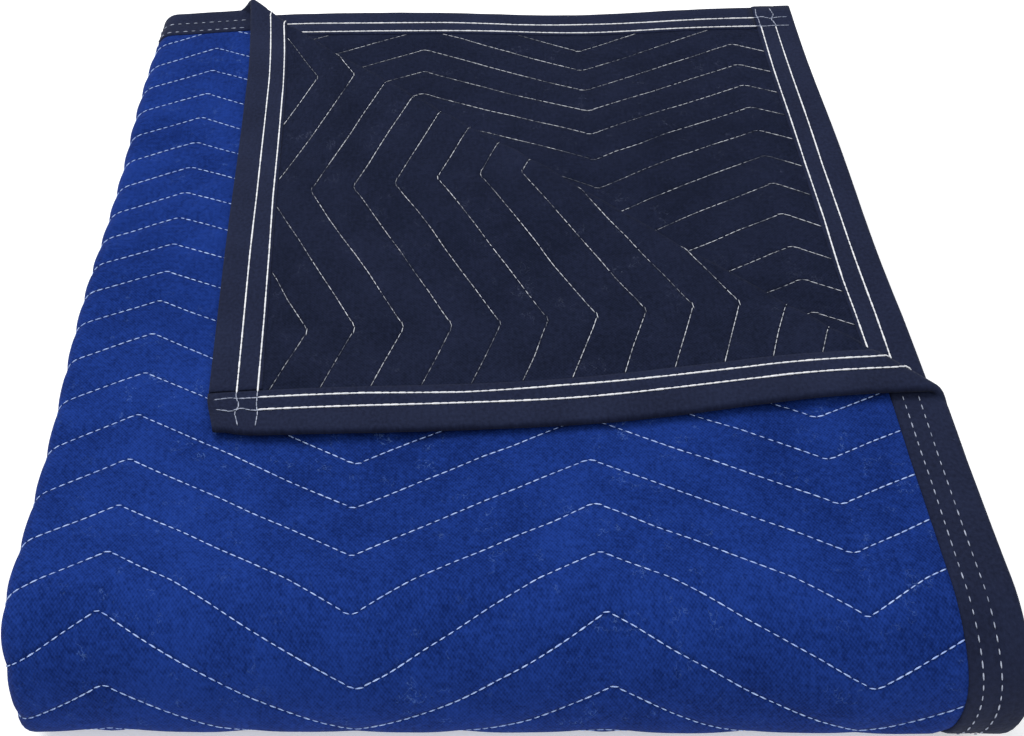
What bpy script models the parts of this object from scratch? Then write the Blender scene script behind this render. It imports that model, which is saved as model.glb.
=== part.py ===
"""Moving blanket folded to sixteen layers, with one corner turned over on top.

Metres, +Z up. The blanket lies on z = 0 with the middle of its underside at the
origin. X runs across the stack, -Y is the rounded front, +Y the open back.
"""

import math

import bmesh
import bpy

# The blanket laid out flat
FLAT_WIDTH = 1.829
FLAT_LENGTH = 2.032

# The quilted cloth: two faces, each carrying half of the filling
FACE_THICK = 0.00235
FACE_GAP = 0.0003
LAYER_PITCH = 0.0056

# The binding sewn round the edges
BINDING_WIDTH = 0.0265
BINDING_THICK = 0.0010
BINDING_CLEAR = 0.0003
EDGE_RAMP = 0.0030

# The corner turned over: where its fold meets the end edge and the side edge, as
# distances from the corner, and the radius of the fold
CORNER_ON_END = 0.394
CORNER_ON_SIDE = 0.366
CORNER_RADIUS = 0.0032

# How far each free edge stops short of the stack's own side
FIRST_SIDE_SHORT = 0.0010
LAST_SIDE_SHORT = 0.0050
FIRST_END_SHORT = 0.0060
LAST_END_SHORT = 0.0030

# How many flat facets follow each part of a fold
FLAT_PARTS = 2
OUTER_PARTS = 5
CREASE_PARTS = 4
NOSE_PARTS = 7
BACK_PARTS = 5
CORNER_PARTS = 6

COLOURS = {
    "blue_face": (0.030, 0.085, 0.420, 1.0),
    "navy_face": (0.018, 0.026, 0.075, 1.0),
    "binding": (0.014, 0.019, 0.055, 1.0),
}

HALF_CLOTH = FACE_GAP / 2 + FACE_THICK
PACKET = 4 * LAYER_PITCH
SIDE_RADIUS = 1.5 * LAYER_PITCH
CREASE_RADIUS = 0.5 * LAYER_PITCH
NOSE_RADIUS = 1.5 * PACKET
BACK_RADIUS = 0.5 * PACKET
HALF_PACKET = SIDE_RADIUS + HALF_CLOTH
FACE_THIN = HALF_CLOTH - BINDING_THICK - BINDING_CLEAR - FACE_GAP / 2


def stack_width():
    """The width that uses up FLAT_WIDTH in four layers and the turns between them."""
    turns = math.pi * (SIDE_RADIUS + 2 * CREASE_RADIUS)
    left = HALF_PACKET
    right = CREASE_RADIUS + HALF_CLOTH
    lost = 4 * left + 2 * right + FIRST_SIDE_SHORT + LAST_SIDE_SHORT
    return (FLAT_WIDTH - turns + lost) / 4


def stack_depth():
    """The depth that uses up FLAT_LENGTH in four passes and the turns between them."""
    turns = math.pi * (NOSE_RADIUS + 2 * BACK_RADIUS)
    front = NOSE_RADIUS + HALF_PACKET
    back = BACK_RADIUS + HALF_PACKET
    lost = 4 * front + 2 * back + FIRST_END_SHORT + LAST_END_SHORT
    return (FLAT_LENGTH - turns + lost) / 4


WIDTH = stack_width()
DEPTH = stack_depth()


def lay_path(start, runs):
    """Lays runs of (length, curvature, parts) end to end, the first heading towards -X."""
    path = []
    travelled = 0.0
    point = start
    heading = math.pi
    for length, curve, parts in runs:
        path.append((travelled, length, point, heading, curve, parts))
        point, heading = along(point, heading, curve, length)
        travelled += length
    return path


def along(point, heading, curve, distance):
    """The point and heading reached after a distance on a straight run or an arc."""
    if curve == 0.0:
        x = point[0] + distance * math.cos(heading)
        y = point[1] + distance * math.sin(heading)
        return (x, y), heading
    turned = heading + distance * curve
    x = point[0] + (math.sin(turned) - math.sin(heading)) / curve
    y = point[1] - (math.cos(turned) - math.cos(heading)) / curve
    return (x, y), turned


def on_path(path, distance):
    """The point on a path, and the normal on the side that ends up outside."""
    run = path[0]
    for candidate in path:
        if distance >= candidate[0]:
            run = candidate
    point, heading = along(run[2], run[3], run[4], distance - run[0])
    return point, (math.sin(heading), -math.cos(heading))


def path_lines(path):
    """The distances at which a flat sheet is divided so that it can follow the path."""
    lines = [0.0]
    for travelled, length, _, _, _, parts in path:
        lines += [travelled + length * (i + 1) / parts for i in range(parts)]
    return lines


def side_path():
    """Across the stack: two layers wrapped round two others at the left."""
    left = HALF_PACKET
    right = CREASE_RADIUS + HALF_CLOTH
    first = WIDTH - left - FIRST_SIDE_SHORT
    middle = WIDTH - left - right
    last = WIDTH - left - LAST_SIDE_SHORT
    start = (WIDTH / 2 - FIRST_SIDE_SHORT, SIDE_RADIUS)
    crease = math.pi * CREASE_RADIUS
    runs = [
        (first, 0.0, FLAT_PARTS),
        (math.pi * SIDE_RADIUS, 1 / SIDE_RADIUS, OUTER_PARTS),
        (middle, 0.0, FLAT_PARTS),
        (crease, 1 / CREASE_RADIUS, CREASE_PARTS),
        (middle, 0.0, FLAT_PARTS),
        (crease, -1 / CREASE_RADIUS, OUTER_PARTS),
        (last, 0.0, FLAT_PARTS),
    ]
    return lay_path(start, runs)


def end_path():
    """Front to back: the middle line of the four-layer packet, folded the same way."""
    front = NOSE_RADIUS + HALF_PACKET
    back = BACK_RADIUS + HALF_PACKET
    first = DEPTH - front - FIRST_END_SHORT
    middle = DEPTH - front - back
    last = DEPTH - front - LAST_END_SHORT
    underside = HALF_PACKET
    start = (DEPTH / 2 - FIRST_END_SHORT, underside + 2 * NOSE_RADIUS)
    turn = math.pi * BACK_RADIUS
    runs = [
        (first, 0.0, FLAT_PARTS),
        (math.pi * NOSE_RADIUS, 1 / NOSE_RADIUS, NOSE_PARTS),
        (middle, 0.0, FLAT_PARTS),
        (turn, 1 / BACK_RADIUS, BACK_PARTS),
        (middle, 0.0, FLAT_PARTS),
        (turn, -1 / BACK_RADIUS, NOSE_PARTS),
        (last, 0.0, FLAT_PARTS),
    ]
    return lay_path(start, runs)


ACROSS = side_path()
BACKWARD = end_path()
# The fold of the turned corner: the direction across it, away from the corner, and
# how far from the corner the cloth starts to bend.
CORNER_REACH = math.hypot(CORNER_ON_END, CORNER_ON_SIDE)
ACROSS_U = CORNER_ON_SIDE / CORNER_REACH
ACROSS_V = CORNER_ON_END / CORNER_REACH
CORNER_DEPTH = CORNER_ON_END * CORNER_ON_SIDE / CORNER_REACH
BEND_START = CORNER_DEPTH + math.pi * CORNER_RADIUS / 2


def turn_corner(u, v, w):
    """Folds the flat corner over along its fold line, with the blue face inside."""
    beyond = BEND_START - u * ACROSS_U - v * ACROSS_V
    if beyond <= 0.0:
        return u, v, w
    radius = CORNER_RADIUS
    if beyond < math.pi * radius:
        angle = beyond / radius
        reach = (radius - w) * math.sin(angle)
        height = radius - (radius - w) * math.cos(angle)
    else:
        reach = math.pi * radius - beyond
        height = 2 * radius - w
    moved = beyond - reach
    return u + moved * ACROSS_U, v + moved * ACROSS_V, height


def settle(x, y, z):
    """Lets the stack sag a little towards its sides, as soft folded cloth does."""
    across = 2 * x / WIDTH
    back = 2 * y / DEPTH
    sag = 1.0 - 0.016 * across * across - 0.010 * back * back - 0.005 * across * back
    sway = 0.0020 * math.sin(52.0 * z + 1.5 * back)
    return x + sway, y, z * sag


def folded(u, v, w):
    """Where a point of the flat blanket ends up: w is its height above mid-cloth."""
    u, v, w = turn_corner(u, v, w)
    (x, h), (normal_x, normal_h) = on_path(ACROSS, u)
    x += w * normal_x
    h += w * normal_h
    (y, z), (normal_y, normal_z) = on_path(BACKWARD, v)
    return settle(x, y + h * normal_y, z + h * normal_z)


def edge_lines(lines, total):
    """Adds the lines where the cloth thins to go under the binding."""
    thin = BINDING_WIDTH + BINDING_CLEAR * 2
    extra = [thin, thin + EDGE_RAMP, total - thin - EDGE_RAMP, total - thin]
    return sorted(lines + extra)


def face_height(u, v):
    """The outer height of a face: thin under the binding, full inside it."""
    side = min(u, FLAT_WIDTH - u)
    end = min(v, FLAT_LENGTH - v)
    thin = BINDING_WIDTH + BINDING_CLEAR * 2
    inside = min(side, end) - thin
    share = min(1.0, max(0.0, inside / EDGE_RAMP))
    return FACE_GAP / 2 + FACE_THIN + share * (FACE_THICK - FACE_THIN)


def slab(u_lines, v_lines, side):
    """One face of the blanket laid flat: a closed sheet above or below mid-cloth."""
    mesh = bmesh.new()
    rings = []
    for height in (lambda u, v: FACE_GAP / 2, face_height):
        rings.append(
            [[mesh.verts.new((u, v, side * height(u, v))) for v in v_lines] for u in u_lines]
        )
    near, far = rings
    last_u = len(u_lines) - 1
    last_v = len(v_lines) - 1
    for i in range(last_u):
        for j in range(last_v):
            for grid in rings:
                corners = (grid[i][j], grid[i + 1][j], grid[i + 1][j + 1], grid[i][j + 1])
                mesh.faces.new(corners)
    for i in range(last_u):
        for j in (0, last_v):
            mesh.faces.new((near[i][j], near[i + 1][j], far[i + 1][j], far[i][j]))
    for j in range(last_v):
        for i in (0, last_u):
            mesh.faces.new((near[i][j], near[i][j + 1], far[i][j + 1], far[i][j]))
    return mesh


def binding_section():
    """The binding's U section round an edge: (distance in from the edge, height)."""
    inner = FACE_GAP / 2 + FACE_THIN + BINDING_CLEAR
    outer = inner + BINDING_THICK
    lip = BINDING_WIDTH
    back = -BINDING_CLEAR
    return [
        (lip, -outer),
        (back - BINDING_THICK, -outer),
        (back - BINDING_THICK, outer),
        (lip, outer),
        (lip, inner),
        (back, inner),
        (back, -inner),
        (lip, -inner),
    ]


def strip(lines, place):
    """A binding strip laid flat, its U section carried along the given lines."""
    mesh = bmesh.new()
    section = binding_section()
    rings = [[mesh.verts.new(place(s, *point)) for point in section] for s in lines]
    count = len(section)
    for first, second in zip(rings, rings[1:]):
        for k in range(count):
            n = (k + 1) % count
            mesh.faces.new((first[k], first[n], second[n], second[k]))
    for ring in (rings[0], rings[-1]):
        mesh.faces.new((ring[0], ring[1], ring[6], ring[7]))
        mesh.faces.new((ring[1], ring[2], ring[5], ring[6]))
        mesh.faces.new((ring[2], ring[3], ring[4], ring[5]))
    return mesh


def cut_for_corner(mesh):
    """Divides the flat mesh along the lines where the turned corner bends."""
    for i in range(CORNER_PARTS + 1):
        offset = BEND_START - math.pi * CORNER_RADIUS * i / CORNER_PARTS
        bmesh.ops.bisect_plane(
            mesh,
            geom=mesh.verts[:] + mesh.edges[:] + mesh.faces[:],
            dist=1e-7,
            plane_co=(offset * ACROSS_U, offset * ACROSS_V, 0.0),
            plane_no=(ACROSS_U, ACROSS_V, 0.0),
        )


def material(name, colour):
    made = bpy.data.materials.new(name)
    made.use_nodes = True
    shader = made.node_tree.nodes["Principled BSDF"]
    shader.inputs["Base Color"].default_value = colour
    shader.inputs["Roughness"].default_value = 0.9
    return made


def add_piece(name, mesh, colour):
    """Cuts, triangulates and folds a flat piece, and adds it to the scene."""
    cut_for_corner(mesh)
    bmesh.ops.triangulate(mesh, faces=mesh.faces[:])
    bmesh.ops.recalc_face_normals(mesh, faces=mesh.faces[:])
    for vertex in mesh.verts:
        vertex.co = folded(*vertex.co)
    bmesh.ops.recalc_face_normals(mesh, faces=mesh.faces[:])
    if mesh.calc_volume(signed=True) < 0.0:
        bmesh.ops.reverse_faces(mesh, faces=mesh.faces[:])
    data = bpy.data.meshes.new(name)
    mesh.to_mesh(data)
    mesh.free()
    data.materials.append(material(name, COLOURS[colour]))
    piece = bpy.data.objects.new(name, data)
    bpy.context.scene.collection.objects.link(piece)
    return piece


def clear_scene():
    for leftover in list(bpy.data.objects):
        bpy.data.objects.remove(leftover, do_unlink=True)


def main():
    clear_scene()
    u_lines = edge_lines(path_lines(ACROSS), FLAT_WIDTH)
    v_lines = edge_lines(path_lines(BACKWARD), FLAT_LENGTH)
    u_lines[-1] = FLAT_WIDTH
    v_lines[-1] = FLAT_LENGTH
    add_piece("blue_face", slab(u_lines, v_lines, 1.0), "blue_face")
    add_piece("navy_face", slab(u_lines, v_lines, -1.0), "navy_face")

    over = BINDING_CLEAR + BINDING_THICK
    side_lines = [-over] + v_lines[1:-1] + [FLAT_LENGTH + over]
    add_piece("side_binding_first", strip(side_lines, lambda s, d, w: (d, s, w)), "binding")
    add_piece(
        "side_binding_last",
        strip(side_lines, lambda s, d, w: (FLAT_WIDTH - d, s, w)),
        "binding",
    )
    butt = BINDING_WIDTH + BINDING_CLEAR
    end_lines = [butt] + u_lines[2:-2] + [FLAT_WIDTH - butt]
    add_piece("end_binding_first", strip(end_lines, lambda s, d, w: (s, d, w)), "binding")
    add_piece(
        "end_binding_last",
        strip(end_lines, lambda s, d, w: (s, FLAT_LENGTH - d, w)),
        "binding",
    )


main()
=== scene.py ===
# %% [markdown]
# # A folded moving blanket
# A moving blanket is a sandwich of two cloths and a filling, quilted through with rows
# of zigzag stitching and bound all round its edge with a folded tape. This one is
# folded in four across its width and in four along its length, and its top corner is
# turned back to show the other colour.
#
# A cloth simulation could fold it, but sixteen layers in contact would take long, and it
# would be hard to make every edge end in its place. This lesson lays everything out flat
# instead, where stitching and binding are simple, and one function then carries any
# point of the flat blanket to where it lies in the stack.

import math

import bmesh
import bpy
import numpy as np
from mathutils import Matrix


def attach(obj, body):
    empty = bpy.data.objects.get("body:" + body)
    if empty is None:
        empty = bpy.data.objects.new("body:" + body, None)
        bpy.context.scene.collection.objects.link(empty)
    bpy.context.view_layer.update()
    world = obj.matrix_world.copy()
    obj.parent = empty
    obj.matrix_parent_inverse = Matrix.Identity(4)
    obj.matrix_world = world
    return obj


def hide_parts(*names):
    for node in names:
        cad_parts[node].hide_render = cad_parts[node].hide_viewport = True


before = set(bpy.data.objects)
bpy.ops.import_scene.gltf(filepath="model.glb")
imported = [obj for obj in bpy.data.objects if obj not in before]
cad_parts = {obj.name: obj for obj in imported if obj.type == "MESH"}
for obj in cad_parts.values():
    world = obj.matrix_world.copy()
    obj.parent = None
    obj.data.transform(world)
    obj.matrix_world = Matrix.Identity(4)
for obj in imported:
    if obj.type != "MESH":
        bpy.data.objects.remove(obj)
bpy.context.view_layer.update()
print("packed nodes:", sorted(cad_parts))

# %% [markdown]
# ## Sizes
# All sizes are in metres. The first group repeats the solid model's, so the finished
# cloth fills the same space: the blanket is a common 72 by 80 inch one. A packet is the
# four layers made by folding across the width. The second group is the quilting, a
# zigzag that a wide machine sews in rows about an inch apart.

# %% Sizes
FLAT_WIDTH = 1.829
FLAT_LENGTH = 2.032
LAYER_PITCH = 0.0056
HALF_CLOTH = 0.0025
PACKET = 4 * LAYER_PITCH
SIDE_RADIUS = 1.5 * LAYER_PITCH
CREASE_RADIUS = 0.5 * LAYER_PITCH
NOSE_RADIUS = 1.5 * PACKET
BACK_RADIUS = 0.5 * PACKET
HALF_PACKET = SIDE_RADIUS + HALF_CLOTH
FIRST_SIDE_SHORT = 0.0010
LAST_SIDE_SHORT = 0.0050
FIRST_END_SHORT = 0.0060
LAST_END_SHORT = 0.0030
CORNER_ON_END = 0.394
CORNER_ON_SIDE = 0.366
CORNER_RADIUS = 0.0032
BINDING_WIDTH = 0.0265

ZIG_WIDTH = 0.1155
ZIG_HEIGHT = 0.0533
ZIG_START = 0.4130
ROW_PITCH = 0.0257
FIRST_ROW = 0.0208 - 4 * ROW_PITCH
STITCH_PITCH = 0.0044
print(f"{FLAT_WIDTH} x {FLAT_LENGTH} m, {1000 * PACKET:.1f} mm to a packet of four layers")

# %% [markdown]
# ## The fold as a path
# Seen from the end, folded cloth is one line that runs straight, turns half round, and
# runs back. `lay_path` joins such runs, and `on_path` finds the point a given distance
# along, with the direction that ends up outside. The same two functions serve for the
# folds across the width and for the later folds along the length.

# %% Paths
def lay_path(start, runs):
    """Rows of (distance travelled, x, y, heading, curvature), the first run towards -X."""
    rows = []
    travelled, x, y, heading = 0.0, start[0], start[1], math.pi
    for length, curve in runs:
        rows.append((travelled, x, y, heading, curve))
        if curve == 0.0:
            x += length * math.cos(heading)
            y += length * math.sin(heading)
        else:
            turned = heading + length * curve
            x += (math.sin(turned) - math.sin(heading)) / curve
            y -= (math.cos(turned) - math.cos(heading)) / curve
            heading = turned
        travelled += length
    return np.array(rows)


def on_path(path, distance):
    """Points on a path, and the unit normals on the outer side."""
    index = np.clip(np.searchsorted(path[:, 0], distance, side="right") - 1, 0, None)
    begun, x, y, heading, curve = np.moveaxis(path[index], -1, 0)
    along = distance - begun
    turned = heading + along * curve
    bend = np.where(curve == 0.0, 1.0, curve)
    arc_x = x + (np.sin(turned) - np.sin(heading)) / bend
    arc_y = y - (np.cos(turned) - np.cos(heading)) / bend
    straight = curve == 0.0
    px = np.where(straight, x + along * np.cos(heading), arc_x)
    py = np.where(straight, y + along * np.sin(heading), arc_y)
    return px, py, np.sin(turned), -np.cos(turned)


# %% [markdown]
# The stack's width and depth follow from the flat size: four layers each way, less what
# the turns take up.

# %% The two paths
SIDE_LOST = 4 * HALF_PACKET + 2 * (CREASE_RADIUS + HALF_CLOTH)
SIDE_TURNS = math.pi * (SIDE_RADIUS + 2 * CREASE_RADIUS)
WIDTH = (FLAT_WIDTH - SIDE_TURNS + SIDE_LOST + FIRST_SIDE_SHORT + LAST_SIDE_SHORT) / 4
FRONT = NOSE_RADIUS + HALF_PACKET
BACK = BACK_RADIUS + HALF_PACKET
END_TURNS = math.pi * (NOSE_RADIUS + 2 * BACK_RADIUS)
DEPTH = (FLAT_LENGTH - END_TURNS + 4 * FRONT + 2 * BACK + FIRST_END_SHORT + LAST_END_SHORT) / 4

LAYER_ONE = WIDTH - HALF_PACKET - FIRST_SIDE_SHORT
LAYER_MID = WIDTH - HALF_PACKET - CREASE_RADIUS - HALF_CLOTH
LAYER_LAST = WIDTH - HALF_PACKET - LAST_SIDE_SHORT
PASS_ONE = DEPTH - FRONT - FIRST_END_SHORT
PASS_MID = DEPTH - FRONT - BACK
PASS_LAST = DEPTH - FRONT - LAST_END_SHORT
SIDE_RUNS = [
    (LAYER_ONE, 0.0),
    (math.pi * SIDE_RADIUS, 1 / SIDE_RADIUS),
    (LAYER_MID, 0.0),
    (math.pi * CREASE_RADIUS, 1 / CREASE_RADIUS),
    (LAYER_MID, 0.0),
    (math.pi * CREASE_RADIUS, -1 / CREASE_RADIUS),
    (LAYER_LAST, 0.0),
]
END_RUNS = [
    (PASS_ONE, 0.0),
    (math.pi * NOSE_RADIUS, 1 / NOSE_RADIUS),
    (PASS_MID, 0.0),
    (math.pi * BACK_RADIUS, 1 / BACK_RADIUS),
    (PASS_MID, 0.0),
    (math.pi * BACK_RADIUS, -1 / BACK_RADIUS),
    (PASS_LAST, 0.0),
]
ACROSS = lay_path((WIDTH / 2 - FIRST_SIDE_SHORT, SIDE_RADIUS), SIDE_RUNS)
BACKWARD = lay_path((DEPTH / 2 - FIRST_END_SHORT, HALF_PACKET + 2 * NOSE_RADIUS), END_RUNS)
U_STOPS = np.append(ACROSS[:, 0], FLAT_WIDTH)
V_STOPS = np.append(BACKWARD[:, 0], FLAT_LENGTH)
print(f"stack {WIDTH:.3f} x {DEPTH:.3f} m from a {FLAT_WIDTH} x {FLAT_LENGTH} m blanket")

# %% [markdown]
# ## Turning the corner
# The corner is turned back while the blanket is still flat. Cloth beyond the fold line
# goes round a small half turn and comes back face down, a little above the rest. The
# fold line isn't quite at 45 degrees, so the flap's edges run slightly askew. Small
# shifts then bend the flap's edges, as cloth laid by hand is never dead straight.

# %% Corner fold
PEAK_HEIGHT = 0.0060
PEAK_SPREAD = 0.028
EDGE_BOW = 0.0075
BOW_ENDS = 0.16
SWING_OUT = 0.0080
SWING_BACK = 0.0140
SWING_ENDS = 0.25
ROUNDING = 0.0040
ROUNDING_SPREAD = 0.013
FREE_AFTER = 0.06
CORNER_REACH = math.hypot(CORNER_ON_END, CORNER_ON_SIDE)
ACROSS_U = CORNER_ON_SIDE / CORNER_REACH
ACROSS_V = CORNER_ON_END / CORNER_REACH
CORNER_DEPTH = CORNER_ON_END * CORNER_ON_SIDE / CORNER_REACH
BEND_START = CORNER_DEPTH + math.pi * CORNER_RADIUS / 2


def past_fold(u, v):
    """How far a flat point lies past the start of the corner's fold."""
    return BEND_START - u * ACROSS_U - v * ACROSS_V


def loose_lift(u, v, beyond, turned):
    """Extra height of the turned cloth: it never lies quite flat on what is below."""
    lift = 0.0012 * np.sin(19.0 * u + 1.0) * np.sin(23.0 * v + 0.4) + 0.0006
    lift = np.where(turned, np.minimum(1.0, (beyond - 0.010) / 0.05) * lift, 0.0)
    # The stiff binding won't fold as tightly as the cloth, so it stands up in a peak.
    off_peak = (u - CORNER_ON_END) ** 2 + v**2
    peak = PEAK_HEIGHT * np.exp(-(off_peak / PEAK_SPREAD**2))
    return lift + peak * np.clip(beyond / 0.006, 0.0, 1.0)


def loose_shift(u, v, beyond):
    """How far the turned cloth strays sideways, along u and along v."""
    free = np.clip(beyond / FREE_AFTER, 0.0, 1.0)
    # The front edge hangs in a slight bow.
    bow = EDGE_BOW * np.sin(math.pi * np.clip(v / CORNER_ON_SIDE, 0.0, 1.0)) ** 2
    bow = bow * np.clip(1.0 - u / BOW_ENDS, 0.0, 1.0) * free
    # The side edge swings out a little towards the loose corner.
    swing = SWING_OUT - SWING_BACK * u / CORNER_ON_END
    swing = swing * np.clip(1.0 - v / SWING_ENDS, 0.0, 1.0) * free
    # The loose corner is a little rounded, where the tape is folded over itself.
    rounding = ROUNDING * np.exp(-(u**2 + v**2) / ROUNDING_SPREAD**2) * free
    return swing - rounding, bow - rounding


def turn_corner(u, v, w):
    """Folds the flat corner over along its fold line, with the blue face inside."""
    beyond = past_fold(u, v)
    radius = CORNER_RADIUS
    angle = np.clip(beyond / radius, 0.0, math.pi)
    turned = beyond >= math.pi * radius
    reach = np.where(turned, math.pi * radius - beyond, (radius - w) * np.sin(angle))
    height = np.where(turned, 2 * radius - w, radius - (radius - w) * np.cos(angle))
    height = np.where(beyond > 0.0, height + loose_lift(u, v, beyond, turned), w)
    moved = np.where(beyond > 0.0, beyond - reach, 0.0)
    shift_u, shift_v = loose_shift(u, v, beyond)
    return u + moved * ACROSS_U + shift_u, v + moved * ACROSS_V + shift_v, height


print(f"corner turned back along a fold {CORNER_DEPTH:.3f} m in from its tip")

# %% [markdown]
# ## From flat to folded
# `folded` applies the corner, then the folds across, then the folds along. Last comes
# the settling that every real stack shows: it sags towards its sides, leans a little,
# and its top is never quite level.

# %% The whole fold
BACK_DIP = 0.0050
DIP_AT = 0.055
DIP_SPREAD = 0.085
FRONT_SLUMP = 0.0048
SLUMP_DEPTH = 0.045
SLUMP_HEIGHT = 0.015
SLUMP_SPREAD = 0.024
TOP_LEAN = 0.0022
STACK_HEIGHT = 0.09


def settle(x, y, z):
    """Lets the stack sag, lean and ripple a little, as soft folded cloth does."""
    across = 2 * x / WIDTH
    back = 2 * y / DEPTH
    sag = 1.0 - 0.016 * across**2 - 0.010 * back**2 - 0.005 * across * back
    sway = 0.0020 * np.sin(52.0 * z + 1.5 * back)
    swell = 0.0011 * np.sin(17.0 * x + 9.0 * y + 0.7) + 0.0009 * np.sin(27.0 * y - 11.0 * x)
    ripple = 0.0007 * np.sin(41.0 * x + 1.3) * np.sin(33.0 * y + 0.5)
    loose = np.clip(z / STACK_HEIGHT, 0.0, 1.0) ** 2
    edge = 0.0007 * np.sin(31.0 * y + 70.0 * z) * (across**4)
    # The back edge dips between its corners, and the heavy front fold slumps forward.
    dip = BACK_DIP * np.exp(-(((x - DIP_AT) / DIP_SPREAD) ** 2)) * np.clip(back, 0.0, 1.1) ** 4
    front = np.clip((-y - DEPTH / 2 + SLUMP_DEPTH) / SLUMP_DEPTH, 0.0, 1.0)
    slump = FRONT_SLUMP * front**2 * np.exp(-(((z - SLUMP_HEIGHT) / SLUMP_SPREAD) ** 2))
    # The top layers lie a little further to the right at the back, over the ones below.
    lean = TOP_LEAN * np.clip((y + 0.15) / 0.10, 0.0, 1.0) * np.clip((z - 0.077) / 0.004, 0.0, 1.0)
    lean = lean * np.clip(4.0 * across - 2.5, 0.0, 1.0)
    return x + sway + edge + lean, y - slump, z * sag + loose * (swell + ripple - dip)


def folded(u, v, w):
    """Where points of the flat blanket end up: w is the height above mid-cloth."""
    u, v, w = turn_corner(u, v, w)
    x, h, normal_x, normal_h = on_path(ACROSS, u)
    x = x + w * normal_x
    h = h + w * normal_h
    y, z, normal_y, normal_z = on_path(BACKWARD, v)
    return np.stack(settle(x, y + h * normal_y, z + h * normal_z), axis=-1)


print("loose corner lies at", folded(*np.zeros((3, 1)))[0].round(3))

# %% [markdown]
# ## The quilting pattern
# Rows of zigzag run across the blanket, one above the other. `row_number` says which
# row a flat point lies on: whole numbers are on the stitching, halves midway between.
# The rows aren't perfectly even, because the quilting machine feeds the thick sandwich
# a little faster in some places than in others. Both faces share the rows, since one
# needle sews through both. A painted pattern would be quicker, but the cloth between two
# rows really puffs up, and `puff` gives that height.

# %% Quilting rows
def row_table():
    """The flat position of each row's furthest-back point."""
    return FIRST_ROW + ROW_PITCH * np.arange(int((FLAT_LENGTH + 0.15) / ROW_PITCH))


ROWS = row_table()


def zigzag(u):
    """How far a row bends towards the front at a place across the blanket."""
    late = np.clip((u - FLAT_WIDTH + 0.26) / 0.24, 0.0, 1.0)
    turns = (ZIG_START - u - 0.019 * late**1.3) / ZIG_WIDTH
    half = np.abs(turns - 2 * np.round(turns / 2))
    return ZIG_HEIGHT * half


def drift(u, v):
    """How far the rows have crept towards the back, in two uneven places."""
    over = np.clip((u - 0.22) / 0.16, 0.0, 1.0) * np.clip((0.62 - u) / 0.10, 0.0, 1.0)
    late = np.clip((u - FLAT_WIDTH + 0.25) / 0.15, 0.0, 1.0)
    first = 0.0105 * np.exp(-(((v - 0.315) / 0.085) ** 2)) * over
    return first + 0.0075 * np.exp(-(((v - 0.160) / 0.085) ** 2)) * late


def row_number(u, v):
    return (v + drift(u, v) - zigzag(u) - FIRST_ROW) / ROW_PITCH


def inside_binding(u, v):
    """Distance in from the binding's inner line, negative under the binding."""
    side = np.minimum(u, FLAT_WIDTH - u)
    end = np.minimum(v, FLAT_LENGTH - v)
    return np.minimum(side, end) - BINDING_WIDTH


def puff(u, v):
    """Height of a face above mid-cloth: low on the stitching, full between rows."""
    row = row_number(u, v)
    off = np.abs(row - np.round(row)) * 2
    swell = 1.0 - (1.0 - off) ** 2.2
    uneven = 0.5 + 0.5 * np.sin(61.0 * u + 2.0 * np.sin(37.0 * v)) * np.sin(53.0 * v + 1.0)
    full = 0.00125 + (0.00120 + 0.00030 * uneven) * swell
    share = np.clip(inside_binding(u, v) / 0.006, 0.0, 1.0)
    share = share * share * (3 - 2 * share)
    return 0.00120 + share * (full - 0.00120)


print(f"{len(ROWS)} rows of quilting, {1000 * ROW_PITCH:.1f} mm apart")

# %% [markdown]
# ## Shader helpers
# A material is easier to read as arithmetic than as a list of links. `Value` wraps a
# node socket, so that `a * 2 + b` builds the Math nodes itself. Cloth and tape take
# their patterns from the flat blanket's own coordinates, so the weave follows the folds.

# %% Shader arithmetic
class Value:
    """A socket that can be added and multiplied like a number."""

    def __init__(self, tree, socket):
        self.tree = tree
        self.socket = socket

    def node(self, kind, inputs=(), output=0, **settings):
        made = self.tree.nodes.new(kind)
        for name, setting in settings.items():
            setattr(made, name, setting)
        for key, value in dict(inputs).items():
            plug(self.tree, made.inputs[key], value)
        return Value(self.tree, made.outputs[output])

    def math(self, operation, *values):
        pairs = enumerate((self, *values))
        return self.node("ShaderNodeMath", pairs, operation=operation)

    def __add__(self, other):
        return self.math("ADD", other)

    def __radd__(self, other):
        return self.math("ADD", other)

    def __sub__(self, other):
        return self.math("SUBTRACT", other)

    def __rsub__(self, other):
        return (self * -1.0) + other

    def __mul__(self, other):
        return self.math("MULTIPLY", other)

    def __rmul__(self, other):
        return self.math("MULTIPLY", other)

    def absolute(self):
        return self.math("ABSOLUTE")

    def fraction(self):
        return self.math("FRACT")

    def sine(self):
        return self.math("SINE")

    def ramp(self, low, high):
        """0 below low, 1 above high, smooth between."""
        inputs = {"Value": self, "From Min": low, "From Max": high}
        return self.node("ShaderNodeMapRange", inputs, interpolation_type="SMOOTHSTEP")


def plug(tree, socket, value):
    if isinstance(value, Value):
        tree.links.new(value.socket, socket)
    else:
        socket.default_value = value


def mix_colour(share, first, second):
    """first where share is 0, second where it is 1."""
    made = share.tree.nodes.new("ShaderNodeMix")
    made.data_type = "RGBA"
    plug(share.tree, made.inputs[0], share)
    plug(share.tree, made.inputs[6], first)
    plug(share.tree, made.inputs[7], second)
    return Value(share.tree, made.outputs[2])


def start_material(name):
    """A new material, with its tree, its shader and a Value to build from."""
    made = bpy.data.materials.new(name)
    made.use_nodes = True
    tree = made.node_tree
    shader = tree.nodes["Principled BSDF"]
    base = Value(tree, None)
    return made, tree, shader, base


def flat_place(base):
    """The cloth's own coordinates in metres, from its UV map."""
    return base.node("ShaderNodeUVMap", uv_map="cloth")


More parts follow.
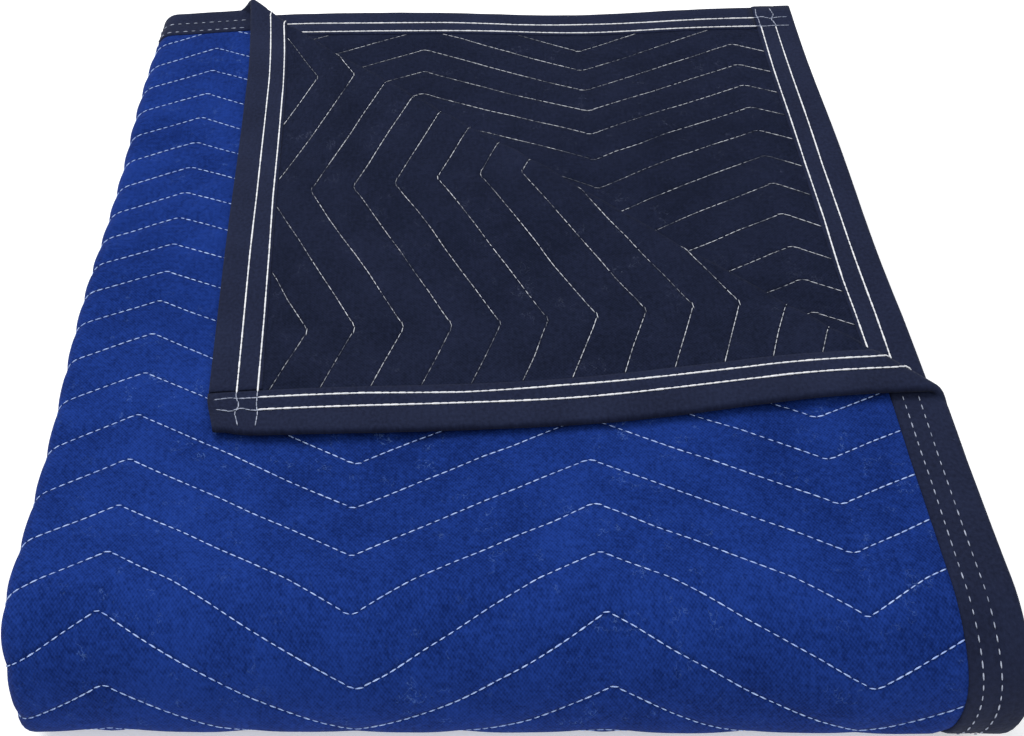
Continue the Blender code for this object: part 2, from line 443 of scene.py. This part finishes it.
def noise(place, scale, detail=3.0, roughness=0.55):
    inputs = {"Vector": place, "Scale": scale, "Detail": detail, "Roughness": roughness}
    return place.node("ShaderNodeTexNoise", inputs, output="Fac")


def stretched(place, along_u, along_v):
    inputs = {0: place, 1: (along_u, along_v, 1.0)}
    return place.node("ShaderNodeVectorMath", inputs, operation="MULTIPLY")


def add_bump(shader, tree, height, distance, strength=1.0):
    inputs = {"Height": height, "Distance": distance, "Strength": strength}
    bump = height.node("ShaderNodeBump", inputs, output="Normal")
    plug(tree, shader.inputs["Normal"], bump)


# %% [markdown]
# ## Cloth
# Both faces are cheap woven cotton and polyester: a coarse, slightly uneven weave that
# has been washed, so the dye is mottled and bits of pale lint cling to it. Along each
# row the thread pulls the cloth in, a crease drawn as a thin dark line of painted shade,
# with short puckers beside it.

# %% Cloth material
def cloth_material(name, dark, light, lint, lint_colour, weave):
    made, tree, shader, base = start_material(name)
    place = flat_place(base)
    row = base.node("ShaderNodeAttribute", attribute_name="row", output="Fac")
    off_row = ((row + 0.5).fraction() - 0.5).absolute()

    warp = noise(stretched(place, 900.0, 140.0), 1.0, 1.0)
    weft = noise(stretched(place, 140.0, 900.0), 1.0, 1.0)
    thread = (warp + weft) * 0.5
    cloudy = noise(place, 9.0, 4.0, 0.6)
    blotch = noise(place, 38.0, 5.0, 0.7)
    grain = noise(place, 420.0, 2.0, 0.7)
    split = place.node("ShaderNodeSeparateXYZ", {0: place})
    across = Value(tree, split.socket.node.outputs[0])
    along = Value(tree, split.socket.node.outputs[1])
    twill = ((across + along) * (2 * math.pi / 0.0019)).sine()
    rib = ((across - along * 0.8) * (2 * math.pi / 0.0016)).sine()
    tone = (thread - 0.5) * weave + (cloudy - 0.5) * 0.9 + (blotch - 0.5) * 0.9
    tone = tone + twill * 0.10 + rib * 0.08
    tone = (tone + (grain - 0.5) * 1.2 + 0.5).ramp(-0.1, 1.1)
    # Painted shade: the colour is darkened in a thin line along each stitched row, where the
    # pulled-in crease lies.
    row_crease_shade = 1.0 - off_row.ramp(0.0, 0.05)
    colour = mix_colour(tone, dark, light)
    shade = tuple(0.45 * c for c in dark[:3]) + (1.0,)
    colour = mix_colour(row_crease_shade * 0.35, colour, shade)

    curl = 1.0 - (noise(place, 190.0, 2.0, 0.6) - 0.5).absolute().ramp(0.004, 0.016)
    clumps = noise(place, 75.0, 2.0).ramp(0.56, 0.66)
    patchy = noise(place, 14.0, 2.0).ramp(0.42, 0.62)
    dust = noise(place, 520.0, 3.0, 0.8).ramp(0.66, 0.72)
    specks = (curl * clumps * 0.8 + dust * 0.5) * (patchy * 0.8 + 0.2) * lint
    colour = mix_colour(specks, colour, lint_colour)
    plug(tree, shader.inputs["Base Color"], colour)

    shader.inputs["Roughness"].default_value = 0.92
    shader.inputs["Specular IOR Level"].default_value = 0.05
    shader.inputs["Sheen Weight"].default_value = 0.012
    shader.inputs["Sheen Roughness"].default_value = 0.5
    pucker = noise(stretched(place, 210.0, 60.0), 1.0, 2.0) * (1.0 - off_row.ramp(0.05, 0.34))
    rumple = noise(stretched(place, 42.0, 7.0), 1.0, 3.0, 0.6)
    height = thread * 0.30 + grain * 0.30 + blotch * 0.5 + pucker * 0.9 + rumple * 1.6
    height = height + off_row.ramp(0.0, 0.07) * 0.5
    add_bump(shader, tree, height, 0.0011, 0.75)
    return made


# In order: dark and light dye, amount and colour of lint, strength of the weave.
BLUE = cloth_material(
    "blue_cloth",
    (0.0024, 0.0120, 0.085, 1.0),
    (0.0115, 0.0415, 0.245, 1.0),
    0.50,
    (0.10, 0.19, 0.46, 1.0),
    0.60,
)
NAVY = cloth_material(
    "navy_cloth",
    (0.0050, 0.0075, 0.0190, 1.0),
    (0.0130, 0.0175, 0.0430, 1.0),
    0.40,
    (0.085, 0.100, 0.160, 1.0),
    0.8,
)
print("cloth:", BLUE.name, NAVY.name)

# %% [markdown]
# ## The two faces
# The real faces are two lengths of woven cloth with the filling between them. Each one
# here is a single grid over the flat blanket, with close lines where it shows and wide
# ones where it is folded away. The grid carries the flat place as a UV map and the row
# number as an attribute, then every point is sent through the fold. Extra cuts along the
# corner's fold let the grid bend there, as the fold crosses its squares at a slant.

# %% Grids
def lines_through(stops, steps):
    """Grid lines through the stops, each run divided at about its own step."""
    lines = [stops[:1]]
    for start, end, step in zip(stops[:-1], stops[1:], steps):
        parts = max(1, int(round((end - start) / step)))
        lines.append(start + (end - start) * np.arange(1, parts + 1) / parts)
    return np.concatenate(lines)


def grid_faces(count_u, count_v, ring):
    """Quads over a grid of points; a ring closes its second direction and both ends."""
    index = np.arange(count_u * count_v).reshape(count_u, count_v)
    if ring:
        index = np.append(index, index[:, :1], axis=1)
    corners = (index[:-1, :-1], index[1:, :-1], index[1:, 1:], index[:-1, 1:])
    faces = np.stack([c.ravel() for c in corners], axis=1).tolist()
    if ring:
        faces += [index[0, :-1].tolist(), index[-1, -2::-1].tolist()]
    return faces


def cut_for_corner(mesh, ring, side):
    """Faces a flat mesh outwards, and divides it where the turned corner bends."""
    work = bmesh.new()
    work.from_mesh(mesh)
    if ring:
        bmesh.ops.recalc_face_normals(work, faces=work.faces)
    elif side < 0:
        bmesh.ops.reverse_faces(work, faces=work.faces)
    for i in range(11):
        offset = BEND_START - math.pi * CORNER_RADIUS * i / 10
        near = [f for f in work.faces if abs(past_fold(*f.calc_center_median()[:2])) < 0.05]
        parts = set(near)
        for one in near:
            parts.update(one.verts)
            parts.update(one.edges)
        bmesh.ops.bisect_plane(
            work,
            geom=list(parts),
            dist=1e-7,
            plane_co=(offset * ACROSS_U, offset * ACROSS_V, 0.0),
            plane_no=(ACROSS_U, ACROSS_V, 0.0),
        )
    work.to_mesh(mesh)
    work.free()


def fold_mesh(name, flat, material, height=None, side=1.0):
    """Makes a mesh of a grid of flat points (u, v, w), then folds it.

    height(u, v), where given, replaces w after the grid has been cut. Without it the
    grid is a ring: a closed section carried along a strip.
    """
    mesh = bpy.data.meshes.new(name)
    ring = height is None
    mesh.from_pydata(flat.reshape(-1, 3).tolist(), [], grid_faces(*flat.shape[:2], ring))
    cut_for_corner(mesh, ring, side)
    place = np.empty(len(mesh.vertices) * 3, np.float32)
    mesh.vertices.foreach_get("co", place)
    u, v, w = place.reshape(-1, 3).astype(float).T
    corner = np.empty(len(mesh.loops), np.int32)
    mesh.loops.foreach_get("vertex_index", corner)
    layer = mesh.uv_layers.new(name="cloth")
    layer.data.foreach_set("uv", np.stack([u, v], axis=1)[corner].ravel())
    attribute = mesh.attributes.new("row", "FLOAT", "POINT")
    attribute.data.foreach_set("value", row_number(u, v))
    if height is not None:
        w = height(u, v)
    mesh.vertices.foreach_set("co", folded(u, v, w).ravel())
    # A ring's two end caps have as many corners as its section, and stay flat.
    mesh.polygons.foreach_set("use_smooth", [p.loop_total < 12 for p in mesh.polygons])
    mesh.update()
    mesh.materials.append(material)
    piece = bpy.data.objects.new(name, mesh)
    bpy.context.scene.collection.objects.link(piece)
    return piece


def add_face(name, u_steps, v_steps, side, material):
    """One face of the blanket, side +1 for the blue one and -1 for the navy one."""
    u, v = np.meshgrid(
        lines_through(U_STOPS, u_steps), lines_through(V_STOPS, v_steps), indexing="ij"
    )
    flat = np.stack([u, v, np.zeros_like(u)], axis=-1)
    return fold_mesh(name, flat, material, lambda a, b: side * puff(a, b), side)


# The steps are for the runs of each path in turn: flat, turn, flat, turn and so on.
FINE = 0.0030
blue = add_face(
    "blue_cloth_face",
    (FINE, 0.0020, 0.03, 0.0015, 0.03, 0.0015, 0.03),
    (FINE, FINE, 0.008, 0.0030, 0.015, 0.0030, 0.015),
    1.0,
    BLUE,
)
navy = add_face(
    "navy_cloth_face",
    (FINE, 0.0040, 0.05, 0.0020, 0.05, 0.0020, FINE),
    (FINE, 0.008, 0.03, 0.0060, 0.03, 0.0060, 0.03),
    -1.0,
    NAVY,
)
for face in (blue, navy):
    print(face.name, len(face.data.polygons) * 2, "triangles")

# %% [markdown]
# ## The binding
# A tape is folded in half lengthways over the raw edge, to hide it and to stop it
# fraying. Its section is a soft U, pressed in where the stitching holds it, and carried
# along the blanket's four sides: the two long strips run right through, and the two end
# strips stop against them. The section could be swept along a curve, but laying it out
# flat first lets it use the same fold as the cloth, so the two can't part.

# %% Binding material
def binding_material(name):
    made, tree, shader, base = start_material(name)
    place = flat_place(base)
    thread = noise(stretched(place, 520.0, 520.0), 1.0, 2.0, 0.6)
    ribs = ((noise(place, 25.0, 1.0) * 0.6) + 0.2).ramp(0.0, 1.0)
    tone = (thread * 0.6 + ribs * 0.4).ramp(0.2, 0.8)
    colour = mix_colour(tone, (0.0062, 0.0088, 0.0245, 1.0), (0.0155, 0.0215, 0.0540, 1.0))
    fluff = noise(stretched(place, 260.0, 330.0), 1.0, 4.0, 0.8)
    specks = fluff.ramp(0.68, 0.76) * 0.5
    colour = mix_colour(specks, colour, (0.09, 0.10, 0.17, 1.0))
    plug(tree, shader.inputs["Base Color"], colour)
    shader.inputs["Roughness"].default_value = 0.9
    shader.inputs["Specular IOR Level"].default_value = 0.10
    shader.inputs["Sheen Weight"].default_value = 0.03
    pucker = noise(stretched(place, 90.0, 90.0), 1.0, 3.0, 0.6)
    add_bump(shader, tree, thread * 0.35 + pucker * 0.8, 0.0010, 0.7)
    return made


BINDING = binding_material("binding_tape")
print("tape:", BINDING.name)


# %% Binding strips
def binding_section():
    """The tape's outer line round the edge, then back inside it: (in from edge, height)."""
    lip = BINDING_WIDTH
    flat = np.array([lip, lip - 0.0006, lip - 0.002, 0.020, 0.013, 0.0115, 0.010, 0.004])
    rise = np.array([1.45, 2.10, 2.42, 2.48, 2.32, 2.10, 2.40, 2.50]) / 1000
    angles = np.linspace(math.pi / 2, -math.pi / 2, 9)
    round_in = 0.0009 - 0.0022 * np.cos(angles)
    round_up = 0.0025 * np.sin(angles)
    inner_in = np.array([lip, -0.0003, -0.0003, lip])
    inner_up = np.array([-1.35, -1.35, 1.35, 1.35]) / 1000
    across = np.concatenate([flat, round_in, flat[::-1], inner_in])
    height = np.concatenate([rise, round_up, -rise[::-1], inner_up])
    return across, height


def add_binding(name, lines, place):
    """A strip of tape: place turns (along, in from edge) into flat coordinates."""
    across, height = binding_section()
    along, inward = np.meshgrid(lines, across, indexing="ij")
    up = np.broadcast_to(height, along.shape)
    plump = 1.0 + 0.05 * np.sin(along * 210.0) * np.sin(along * 47.0 + 1.0)
    u, v = place(along, inward)
    return fold_mesh(name, np.stack([u, v, up * plump], axis=-1), BINDING)


v_lines = lines_through(V_STOPS, (0.006, 0.004, 0.012, 0.003, 0.012, 0.003, 0.012))
u_lines = lines_through(U_STOPS, (0.006, 0.002, 0.02, 0.0015, 0.02, 0.0015, 0.008))
OVERHANG = 0.0013
butt = BINDING_WIDTH + 0.0003
v_side = np.concatenate([[-OVERHANG], v_lines[1:-1], [FLAT_LENGTH + OVERHANG]])
u_end = u_lines[(u_lines > butt) & (u_lines < FLAT_WIDTH - butt)]
u_end = np.concatenate([[butt], u_end, [FLAT_WIDTH - butt]])
strips = {
    "side_binding_first": add_binding("side_binding_first_tape", v_side, lambda s, d: (d, s)),
    "side_binding_last": add_binding(
        "side_binding_last_tape", v_side, lambda s, d: (FLAT_WIDTH - d, s)
    ),
    "end_binding_first": add_binding("end_binding_first_tape", u_end, lambda s, d: (s, d)),
    "end_binding_last": add_binding(
        "end_binding_last_tape", u_end, lambda s, d: (s, FLAT_LENGTH - d)
    ),
}
print("binding strips:", [len(s.data.polygons) * 2 for s in strips.values()])

# %% [markdown]
# ## Stitching
# Thread goes through the cloth as a dashed line. Each row is first a path on the folded
# cloth, kept only where it shows. A small Geometry Nodes tree then walks along the path
# and sets down one short, rounded stitch at every step. A texture of dashes would be
# lighter, but real thread stands on the cloth and catches the light, and there are far
# too many stitches to place by hand.
#
# The thread is the same white cotton everywhere. It looks bluer where it sinks into the
# blue cloth, brightest on the binding, and patchy on the navy, where it is slack and
# half buried.

# %% Thread material
def thread_material(name, colour, worn, patchy):
    """patchy is how much the thread's brightness changes from one stretch to the next."""
    made, tree, shader, base = start_material(name)
    place = base.node("ShaderNodeTexCoord", output="Object")
    fine = noise(place, 350.0, 2.0) - 0.5
    stretch = noise(place, 24.0, 3.0, 0.7) - 0.5
    tone = (fine + stretch * patchy + 0.5).ramp(0.2, 0.7)
    colour = mix_colour(tone, worn, colour)
    plug(tree, shader.inputs["Base Color"], colour)
    shader.inputs["Roughness"].default_value = 0.7
    add_bump(shader, tree, noise(place, 1400.0, 1.0), 0.0003, 0.5)
    return made


WHITE_THREAD = thread_material(
    "white_thread", (0.44, 0.58, 0.92, 1.0), (0.24, 0.36, 0.74, 1.0), 0.6
)
SOFT_THREAD = thread_material(
    "soft_thread", (0.44, 0.48, 0.60, 1.0), (0.18, 0.21, 0.30, 1.0), 0.8
)
BRIGHT_THREAD = thread_material(
    "bright_thread", (0.90, 0.91, 0.93, 1.0), (0.70, 0.72, 0.78, 1.0), 0.4
)
DIM_THREAD = thread_material("dim_thread", (0.62, 0.64, 0.70, 1.0), (0.06, 0.07, 0.10, 1.0), 2.2)
THREADS = (WHITE_THREAD, SOFT_THREAD, BRIGHT_THREAD, DIM_THREAD)
print("threads:", [thread.name for thread in THREADS])


# %% Stitch tree
def stitch_tree(name, material, pitch, length, radius):
    """Geometry Nodes that put a stitch at every step along the edges of a mesh."""
    tree = bpy.data.node_groups.new(name, "GeometryNodeTree")
    face = tree.interface
    face.new_socket("Geometry", in_out="INPUT", socket_type="NodeSocketGeometry")
    for label, value in (("Pitch", pitch), ("Stitch Length", length), ("Radius", radius)):
        socket = face.new_socket(label, in_out="INPUT", socket_type="NodeSocketFloat")
        socket.default_value = value
    seed = face.new_socket("Seed", in_out="INPUT", socket_type="NodeSocketInt")
    seed.default_value = 7
    face.new_socket("Geometry", in_out="OUTPUT", socket_type="NodeSocketGeometry")

    def node(kind, **settings):
        made = tree.nodes.new(kind)
        for key, value in settings.items():
            setattr(made, key, value)
        return made

    def link(start, output, end, entry):
        tree.links.new(start.outputs[output], end.inputs[entry])

    given = node("NodeGroupInput")
    curve = node("GeometryNodeMeshToCurve")
    steps = node("GeometryNodeResampleCurve", mode="LENGTH")
    ball = node("GeometryNodeMeshUVSphere")
    ball.inputs["Segments"].default_value = 6
    ball.inputs["Rings"].default_value = 4
    ball.inputs["Radius"].default_value = 0.5
    size = node("ShaderNodeCombineXYZ")
    double = node("ShaderNodeMath", operation="MULTIPLY")
    double.inputs[1].default_value = 2.0
    shape = node("GeometryNodeTransform")
    tangent = node("GeometryNodeInputTangent")
    align = node("FunctionNodeAlignRotationToVector", axis="X")
    vary = node("FunctionNodeRandomValue", data_type="FLOAT")
    vary.inputs[2].default_value = 0.80
    vary.inputs[3].default_value = 1.12
    place = node("GeometryNodeInstanceOnPoints")
    real = node("GeometryNodeRealizeInstances")
    paint = node("GeometryNodeSetMaterial")
    paint.inputs["Material"].default_value = material
    result = node("NodeGroupOutput")

    link(given, "Geometry", curve, "Mesh")
    link(curve, "Curve", steps, "Curve")
    link(given, "Pitch", steps, "Length")
    link(given, "Radius", double, 0)
    link(given, "Stitch Length", size, "X")
    link(double, 0, size, "Y")
    link(double, 0, size, "Z")
    link(ball, "Mesh", shape, "Geometry")
    link(size, 0, shape, "Scale")
    link(tangent, 0, align, "Vector")
    link(given, "Seed", vary, "Seed")
    link(steps, "Curve", place, "Points")
    link(shape, "Geometry", place, "Instance")
    link(align, 0, place, "Rotation")
    link(vary, 1, place, "Scale")
    link(place, "Instances", real, "Geometry")
    link(real, "Geometry", paint, "Geometry")
    link(paint, "Geometry", result, "Geometry")
    return tree


def sew(name, paths, material, pitch, length, radius):
    """Turns paths, a list of point arrays, into one piece of finished stitching."""
    points, edges, count = [], [], 0
    for path in paths:
        points += path.tolist()
        edges += [(count + i, count + i + 1) for i in range(len(path) - 1)]
        count += len(path)
    mesh = bpy.data.meshes.new(name + "_paths")
    mesh.from_pydata(points, edges, [])
    guide = bpy.data.objects.new(name + "_guide", mesh)
    bpy.context.scene.collection.objects.link(guide)
    tree = stitch_tree(name + "_tree", material, pitch, length, radius)
    modifier = guide.modifiers.new("stitches", "NODES")
    modifier.node_group = tree
    for item in tree.interface.items_tree:
        if item.in_out == "INPUT" and item.socket_type != "NodeSocketGeometry":
            modifier[item.identifier] = item.default_value
    graph = bpy.context.evaluated_depsgraph_get()
    finished = bpy.data.meshes.new_from_object(guide.evaluated_get(graph))
    finished.name = name
    bpy.data.objects.remove(guide, do_unlink=True)
    finished.polygons.foreach_set("use_smooth", np.ones(len(finished.polygons), bool))
    piece = bpy.data.objects.new(name, finished)
    bpy.context.scene.collection.objects.link(piece)
    triangles = sum(len(p.vertices) - 2 for p in finished.polygons)
    print(name, len(paths), "paths,", triangles, "triangles")
    return piece


# %% [markdown]
# Which cloth shows follows from the fold. Blue shows on the first layer wherever it is
# outermost, on the rolled left side and on the creases at the right; navy shows on the
# turned corner and on the second layer that the corner uncovers.

# %% Where each face shows
U_LEFT = U_STOPS[1]
V_NOSE, V_UNDER, V_BACK, V_INNER = V_STOPS[1], V_STOPS[2], V_STOPS[3], V_STOPS[4]


def blue_shows(u, v):
    clear = inside_binding(u, v) > 0.001
    outermost = (v < V_UNDER + 0.02) | ((v > V_BACK - 0.02) & (v < V_INNER + 0.02))
    top = (u < U_LEFT) & (past_fold(u, v) < 0.0) & outermost
    left = (u >= U_LEFT - 0.012) & (u < U_STOPS[2] + 0.002)
    crease = (u > U_STOPS[3] - 0.006) & (u < U_STOPS[4] + 0.006)
    return clear & (top | left | crease)


def navy_shows(u, v):
    clear = inside_binding(u, v) > 0.001
    flap = past_fold(u, v) > 0.0
    same = FLAT_WIDTH - u - LAST_SIDE_SHORT + FIRST_SIDE_SHORT
    uncovered = (same > 0.0) & (same < LAYER_ONE) & (v < V_NOSE)
    uncovered &= past_fold(same, v) > -0.004
    return clear & (flap | uncovered)


def shown_runs(points, shown, least=4):
    """Cuts a path where it is hidden, and keeps the stretches that show."""
    runs = []
    start = None
    for i, seen in enumerate(np.append(shown, False)):
        if seen and start is None:
            start = i
        elif not seen and start is not None:
            if i - start >= least:
                runs.append(points[start:i])
            start = None
    return runs


ROW_SEED = 3
ROW_WANDER = 0.00025
THREAD_RISE = 0.00024


def quilting_paths(side, shows):
    """The quilting rows of one face as paths on the folded cloth."""
    random = np.random.default_rng(ROW_SEED)
    paths = []
    u = np.arange(BINDING_WIDTH, FLAT_WIDTH - BINDING_WIDTH, 0.002)
    for place in ROWS:
        wander = np.interp(u, u[::8], random.normal(0.0, ROW_WANDER, len(u[::8])))
        v = place + zigzag(u) + wander
        for _ in range(4):
            v = place + zigzag(u) + wander - drift(u, v)
        shown = shows(u, v)
        if not shown.any():
            continue
        height = side * (puff(u, v) + THREAD_RISE)
        paths += shown_runs(folded(u, v, height), shown)
    return paths


blue_stitches = sew(
    "blue_quilting",
    quilting_paths(1.0, blue_shows),
    WHITE_THREAD,
    pitch=STITCH_PITCH,
    length=0.0041,
    radius=0.00035,
)
navy_stitches = sew(
    "navy_quilting",
    quilting_paths(-1.0, navy_shows),
    DIM_THREAD,
    pitch=STITCH_PITCH,
    length=0.0052,
    radius=0.00025,
)

# %% [markdown]
# The binding is held by two rows of straight stitching near its inner edge. The thread
# lies almost unbroken on the navy side and in short, spaced dashes on the blue side,
# because the two threads of the machine aren't pulled equally tight. In the square where
# two strips meet, both pairs of rows cross, thinner and less straight, as the tape there
# is doubled and hard to feed.

# %% Binding stitches
TAPE_TOP = 0.00262


def binding_paths(side, edge, inset, start, end, seed, every=25, wander=0.00035):
    """One row of stitching along a stretch of an edge, at a distance in from it."""
    along = np.arange(start, end, 0.002)
    random = np.random.default_rng(seed)
    coarse = along[::every]
    inward = inset + np.interp(along, coarse, random.normal(0.0, wander, len(coarse)))
    fixed = {
        "side_first": (inward, along),
        "side_last": (FLAT_WIDTH - inward, along),
        "end_first": (along, inward),
        "end_last": (along, FLAT_LENGTH - inward),
    }
    u, v = fixed[edge]
    return folded(u, v, np.full_like(u, side * TAPE_TOP))


OUTER_ROW = 0.0140
INNER_ROW = 0.0243
SIDE_ROWS = {OUTER_ROW: 0.0129, INNER_ROW: 0.0208}
U_FLAP = CORNER_ON_END - 0.002
V_FLAP = CORNER_ON_SIDE - 0.002
U_SECOND = U_STOPS[6]
SQUARE = BINDING_WIDTH + 0.0010
FAR_SQUARE = FLAT_WIDTH - SQUARE
bright = []
dashed = []
crossing = []
for count, inset in enumerate((OUTER_ROW, INNER_ROW)):
    side_inset = SIDE_ROWS[inset]
    bright.append(binding_paths(-1.0, "end_first", inset, SQUARE, U_FLAP + 0.004, 10 + count))
    bright.append(binding_paths(-1.0, "side_first", side_inset, SQUARE, V_FLAP + 0.004, 20 + count))
    bright.append(binding_paths(-1.0, "end_first", inset, U_SECOND, FAR_SQUARE, 30 + count))
    bright.append(binding_paths(-1.0, "side_last", inset, SQUARE, V_NOSE - 0.06, 40 + count))
    dashed.append(binding_paths(1.0, "end_first", inset, U_FLAP + 0.006, U_STOPS[2], 50 + count))
    dashed.append(binding_paths(1.0, "side_first", side_inset, V_FLAP + 0.006, V_INNER, 60 + count))
    for edge, row, start, end in (
        ("end_first", inset, 0.004, SQUARE),
        ("side_first", side_inset, 0.004, SQUARE),
        ("end_first", inset, FAR_SQUARE, FLAT_WIDTH - 0.004),
        ("side_last", inset, 0.004, SQUARE),
    ):
        crossing.append(binding_paths(-1.0, edge, row, start, end, 70 + count, 3, 0.0012))
bright_stitches = sew(
    "binding_bright_rows", bright, BRIGHT_THREAD, pitch=0.0042, length=0.0066, radius=0.00052
)
dashed_stitches = sew(
    "binding_dashed_rows", dashed, SOFT_THREAD, pitch=0.0056, length=0.0036, radius=0.00032
)
corner_stitches = sew(
    "corner_square_rows", crossing, SOFT_THREAD, pitch=0.0030, length=0.0042, radius=0.00034
)

# %% [markdown]
# ## Joining the pieces to the frame
# The folded blanket has no moving parts, so every piece rides on its one body. The
# solids that the cloths and tapes stand for are hidden.

# %% Frame calls
everything = [blue, navy, *strips.values()]
everything += [blue_stitches, navy_stitches, bright_stitches, dashed_stitches, corner_stitches]
for piece in everything:
    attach(piece, "root")
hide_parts("blue_face")
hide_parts("navy_face")
for node, strip in strips.items():
    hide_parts(node)
print(len(everything), "pieces ride on the body")

# %% [markdown]
# ## Floor, light and camera
# Cloth this dark needs soft, broad light, or it turns into a black shape. One large lamp
# hangs above and behind on the left, and a larger, weaker one above in front, so that
# the turned corner throws only a gentle shadow. The floor is plain and pale, and gives
# a little light of its own to stay white under the front fold.

# %% Floor and lights
def pale_material():
    made, tree, shader, base = start_material("pale_floor")
    place = base.node("ShaderNodeTexCoord", output="Object")
    tone = noise(place, 3.0, 1.0)
    colour = mix_colour(tone, (0.90, 0.90, 0.90, 1.0), (0.93, 0.93, 0.93, 1.0))
    plug(tree, shader.inputs["Base Color"], colour)
    plug(tree, shader.inputs["Emission Color"], colour)
    shader.inputs["Emission Strength"].default_value = 0.35
    shader.inputs["Roughness"].default_value = 0.8
    return made


floor_mesh = bpy.data.meshes.new("floor")
reach = 30.0
floor_mesh.from_pydata(
    [(-reach, -reach, 0.0), (reach, -reach, 0.0), (reach, reach, 0.0), (-reach, reach, 0.0)],
    [],
    [(0, 1, 2, 3)],
)
floor_mesh.materials.append(pale_material())
floor = bpy.data.objects.new("floor", floor_mesh)
bpy.context.scene.collection.objects.link(floor)


def add_area(name, place, aim, size, power, tint):
    light = bpy.data.lights.new(name, "AREA")
    light.shape = "DISK"
    light.size = size
    light.energy = power
    light.color = tint
    lamp = bpy.data.objects.new(name, light)
    bpy.context.scene.collection.objects.link(lamp)
    toward = np.array(aim, float) - np.array(place, float)
    turn = look_matrix(toward / np.linalg.norm(toward))
    lamp.matrix_world = Matrix.Translation(place) @ turn.to_4x4()
    return lamp


def look_matrix(forward, roll=0.0):
    """The rotation of a camera or lamp that looks along forward, level but for roll."""
    right = np.cross(forward, (0.0, 0.0, 1.0))
    right = right / np.linalg.norm(right)
    up = np.cross(right, forward)
    turned_right = math.cos(roll) * right + math.sin(roll) * up
    turned_up = -math.sin(roll) * right + math.cos(roll) * up
    return Matrix(np.stack([turned_right, turned_up, -forward], axis=1).tolist())


add_area("key_light", (-0.7, 0.6, 1.9), (0.0, 0.0, 0.05), 1.4, 34.0, (1.0, 0.99, 0.98))
add_area("front_fill", (0.7, -1.2, 2.1), (0.0, 0.0, 0.05), 1.8, 20.0, (0.98, 0.99, 1.0))
world = bpy.data.worlds.new("studio")
world.use_nodes = True
world.node_tree.nodes["Background"].inputs["Color"].default_value = (0.95, 0.97, 1.0, 1.0)
world.node_tree.nodes["Background"].inputs["Strength"].default_value = 0.40
bpy.context.scene.world = world
bpy.context.scene.view_settings.view_transform = "Standard"

# %% [markdown]
# The camera stands close in front and looks down at the stack, which is why its front
# looks so much wider than its back. The shift slides the view sideways and down without
# turning the camera.

# %% Camera
pitch, yaw, roll = math.radians(42.69), math.radians(-3.58), math.radians(-3.36)
forward = np.array(
    [math.sin(yaw) * math.cos(pitch), math.cos(yaw) * math.cos(pitch), -math.sin(pitch)]
)
camera_data = bpy.data.cameras.new("camera")
camera_data.lens = 44.3953125
camera_data.sensor_width = 36.0
camera_data.shift_x = 0.1136
camera_data.shift_y = -0.1455
camera_data.clip_start = 0.02
camera = bpy.data.objects.new("camera", camera_data)
bpy.context.scene.collection.objects.link(camera)
turn = look_matrix(forward, roll)
camera.matrix_world = Matrix.Translation((-0.0182, -0.5301, 0.6017)) @ turn.to_4x4()
bpy.context.scene.camera = camera
print(f"camera lens {camera_data.lens:.1f} mm, looking {math.degrees(pitch):.0f} degrees down")
